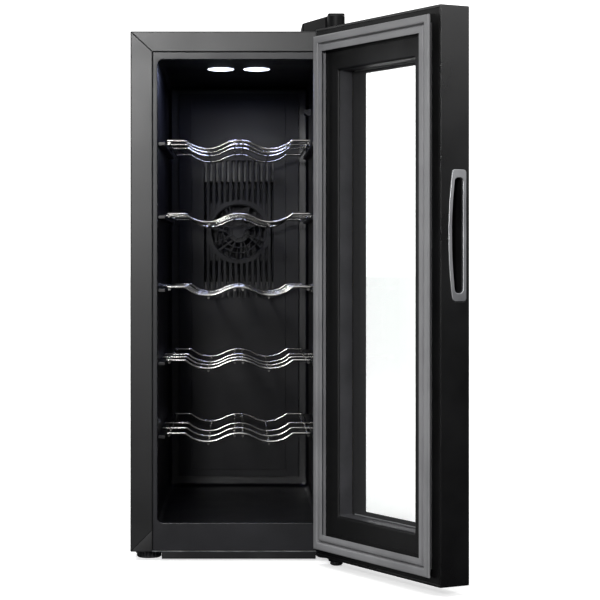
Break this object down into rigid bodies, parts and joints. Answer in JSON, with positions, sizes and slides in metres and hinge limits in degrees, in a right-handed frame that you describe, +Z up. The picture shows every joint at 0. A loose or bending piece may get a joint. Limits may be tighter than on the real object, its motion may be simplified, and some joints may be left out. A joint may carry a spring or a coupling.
{
  "type": "wine cooler",
  "caption": "Upright countertop wine cooler with wavy wire racks, a fan-blown cold plate and a hinged double-glazed door standing open.",
  "frame": {"origin": "floor level at the centre of the rectangle of the four feet", "axes": "+Z up, the cabinet's mouth and door face -Y, the door's hinge is on +X"},
  "size_m": [0.3779, 0.7176, 0.651],
  "materials": {
    "shell_paint": "satin black powder paint, orange-peel",
    "zinc_steel": "galvanised",
    "rear_paint": "matt black paint",
    "liner_plastic": "vacuum-formed, semi-gloss",
    "cover_plastic": "moulded, satin",
    "foam": "rigid foam",
    "black_plastic": "moulded, fine texture",
    "door_plastic": "moulded, satin",
    "door_liner_plastic": "moulded, fine texture",
    "heat_sink_aluminium": "extruded",
    "module_ceramic": "white ceramic faces",
    "circuit_board": "solder mask",
    "lens_plastic": "frosted clear",
    "rack_chrome": "plated wire",
    "screw_steel": "zinc plated",
    "hinge_steel": "black powder paint",
    "pin_steel": "ground",
    "inlet_brass": "nickelled brass",
    "foot_rubber": "moulded",
    "bush_nylon": "nylon",
    "gasket_rubber": "extruded, soft matt",
    "magnet_ferrite": "bonded ferrite",
    "door_glass": "tempered float glass",
    "spacer_bar": "black anodised",
    "border_print": "fired black ceramic print",
    "bezel_chrome": "satin plated"
  },
  "bodies": {
    "cabinet": {"back_partition": "zinc_steel", "base_plate": "zinc_steel", "bottom_hinge_bracket": "hinge_steel", "bottom_hinge_foot": "foot_rubber", "bottom_hinge_pin": "pin_steel", "bottom_hinge_screws": "screw_steel", "cold_block": "heat_sink_aluminium", "cold_fan_frame": "black_plastic", "cold_heat_sink": "heat_sink_aluminium", "control_board": "circuit_board", "fan_cover": "cover_plastic", "hot_fan_frame": "black_plastic", "hot_heat_sink": "heat_sink_aluminium", "inlet_pins": "inlet_brass", "inner_liner": "liner_plastic", "insulation_foam": "foam", "lamp_board": "circuit_board", "lamp_housing": "black_plastic", "lamp_lens_left": "lens_plastic", "lamp_lens_right": "lens_plastic", "outer_shell": "shell_paint", "plinth": "black_plastic", "power_inlet": "black_plastic", "power_supply_board": "circuit_board", "rack_runners": "liner_plastic", "rear_cover": "rear_paint", "rear_screws": "screw_steel", "temperature_probe": "black_plastic", "thermoelectric_module": "module_ceramic", "top_hinge_bracket": "hinge_steel", "top_hinge_cover": "black_plastic", "top_hinge_pin": "pin_steel", "top_hinge_screws": "screw_steel"},
    "door": {"door_frame": "door_plastic", "door_liner": "door_liner_plastic", "door_foam": "foam", "outer_glass": "door_glass", "inner_glass": "door_glass", "glass_spacer": "spacer_bar", "glass_border": "border_print", "door_gasket": "gasket_rubber", "gasket_magnet": "magnet_ferrite", "handle_bezel": "bezel_chrome", "handle_cup": "black_plastic", "touch_board": "circuit_board", "top_hinge_bush": "bush_nylon", "bottom_hinge_bush": "bush_nylon"},
    "rack_1": {"rack_1": "rack_chrome"},
    "rack_2": {"rack_2": "rack_chrome"},
    "rack_3": {"rack_3": "rack_chrome"},
    "rack_4": {"rack_4": "rack_chrome"},
    "rack_5": {"rack_5": "rack_chrome"},
    "cold_fan": {"cold_fan_rotor": "black_plastic"},
    "hot_fan": {"hot_fan_rotor": "black_plastic"},
    "foot_front_left": {"foot_front_left": "black_plastic"},
    "foot_front_right": {"foot_front_right": "black_plastic"},
    "foot_back_left": {"foot_back_left": "black_plastic"},
    "foot_back_right": {"foot_back_right": "black_plastic"}
  },
  "joints": [
    {"name": "door_hinge", "type": "hinge", "parent": "cabinet", "child": "door", "pos_m": [0.1155, -0.2605, 0.322], "axis": [0, 0, 1], "range_deg": [-118.6, 16.4]},
    {"name": "rack_1_slide", "type": "slide", "parent": "cabinet", "child": "rack_1", "axis": [0, -1, 0], "range_m": [0, 0.07]},
    {"name": "rack_2_slide", "type": "slide", "parent": "cabinet", "child": "rack_2", "axis": [0, -1, 0], "range_m": [0, 0.07]},
    {"name": "rack_3_slide", "type": "slide", "parent": "cabinet", "child": "rack_3", "axis": [0, -1, 0], "range_m": [0, 0.07]},
    {"name": "rack_4_slide", "type": "slide", "parent": "cabinet", "child": "rack_4", "axis": [0, -1, 0], "range_m": [0, 0.07]},
    {"name": "rack_5_slide", "type": "slide", "parent": "cabinet", "child": "rack_5", "axis": [0, -1, 0], "range_m": [0, 0.07]},
    {"name": "cold_fan_spin", "type": "hinge", "parent": "cabinet", "child": "cold_fan", "pos_m": [0, 0.143, 0.4], "axis": [0, 1, 0], "continuous": true},
    {"name": "hot_fan_spin", "type": "hinge", "parent": "cabinet", "child": "hot_fan", "pos_m": [0, 0.22, 0.4], "axis": [0, 1, 0], "continuous": true},
    {"name": "foot_front_left_level", "type": "slide", "parent": "cabinet", "child": "foot_front_left", "axis": [0, 0, -1], "range_m": [0, 0.006]},
    {"name": "foot_front_right_level", "type": "slide", "parent": "cabinet", "child": "foot_front_right", "axis": [0, 0, -1], "range_m": [0, 0.006]},
    {"name": "foot_back_left_level", "type": "slide", "parent": "cabinet", "child": "foot_back_left", "axis": [0, 0, -1], "range_m": [0, 0.006]},
    {"name": "foot_back_right_level", "type": "slide", "parent": "cabinet", "child": "foot_back_right", "axis": [0, 0, -1], "range_m": [0, 0.006]}
  ]
}
